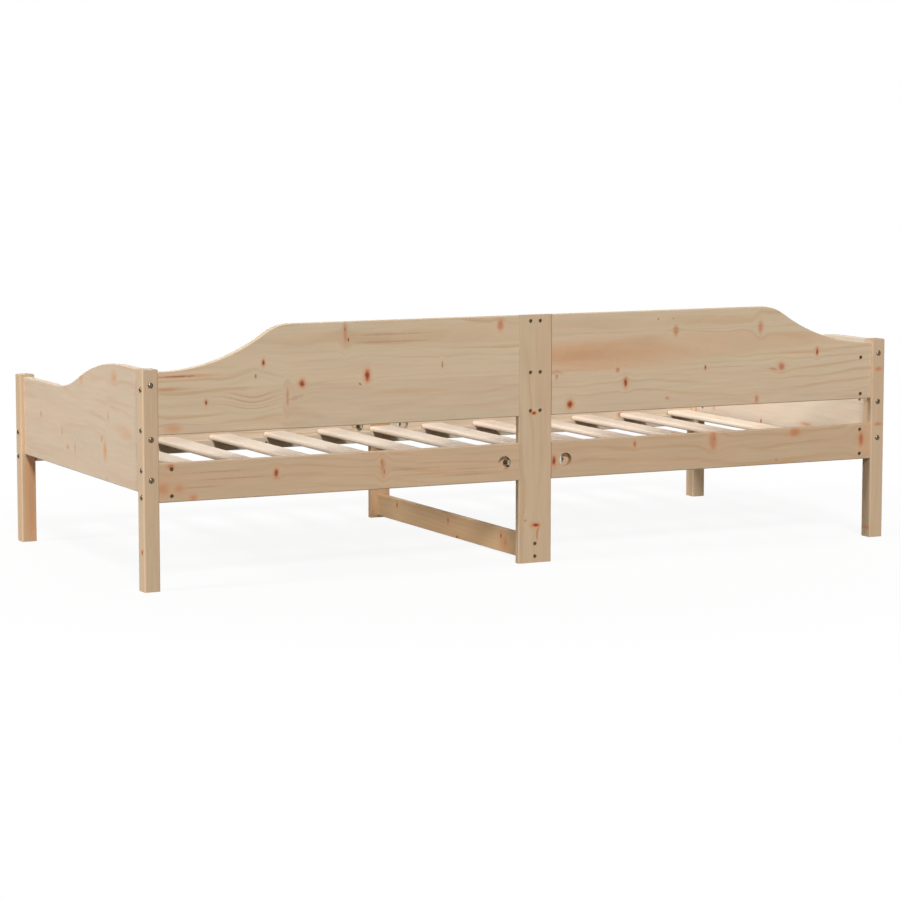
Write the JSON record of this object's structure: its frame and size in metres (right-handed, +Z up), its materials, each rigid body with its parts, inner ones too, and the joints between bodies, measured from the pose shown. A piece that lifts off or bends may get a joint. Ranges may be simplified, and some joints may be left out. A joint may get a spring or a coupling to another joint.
{
  "type": "daybed frame",
  "caption": "Free-standing solid-wood daybed frame: square posts, curved back and end panels, split side rails with middle legs, and a slatted base for a single mattress.",
  "frame": {"origin": "on the floor, under the middle of the frame", "axes": "+X along the bed, +Y towards the tall back panel, +Z up"},
  "size_m": [2.0856, 0.9556, 0.622],
  "materials": {
    "pine": "untreated, planed and sanded",
    "slat_pine": "untreated, planed",
    "zinc_steel": "zinc plated",
    "barrel_nut_steel": "zinc plated, dulled",
    "dowel_beech": "fluted beech"
  },
  "bodies": {
    "root": {"rear_post_left": "pine", "rear_post_right": "pine", "front_post_left": "pine", "front_post_right": "pine", "end_panel_left": "pine", "end_panel_right": "pine", "back_panel_left": "pine", "back_panel_right": "pine", "rear_rail_left": "pine", "rear_rail_right": "pine", "front_rail_left": "pine", "front_rail_right": "pine", "rear_ledger_left": "pine", "rear_ledger_right": "pine", "front_ledger_left": "pine", "front_ledger_right": "pine", "rear_middle_leg": "pine", "front_middle_leg": "pine", "centre_stretcher": "pine", "slat_01": "slat_pine", "slat_02": "slat_pine", "slat_03": "slat_pine", "slat_04": "slat_pine", "slat_05": "slat_pine", "slat_06": "slat_pine", "slat_07": "slat_pine", "slat_08": "slat_pine", "slat_09": "slat_pine", "slat_10": "slat_pine", "slat_11": "slat_pine", "slat_12": "slat_pine", "slat_13": "slat_pine", "end_panel_bolts": "zinc_steel", "rear_rail_bolts": "zinc_steel", "front_rail_bolts": "zinc_steel", "back_panel_bolts": "zinc_steel", "hanger_bolts": "zinc_steel", "rear_tie_rod": "zinc_steel", "front_tie_rod": "zinc_steel", "half_moon_washers": "zinc_steel", "tie_rod_nuts": "zinc_steel", "stretcher_screws": "zinc_steel", "ledger_screws": "zinc_steel", "end_panel_barrel_nuts": "barrel_nut_steel", "rear_rail_barrel_nuts": "barrel_nut_steel", "front_rail_barrel_nuts": "barrel_nut_steel", "back_panel_barrel_nuts": "barrel_nut_steel", "middle_leg_barrel_nuts": "barrel_nut_steel", "rail_dowels": "dowel_beech"}
  },
  "joints": []
}
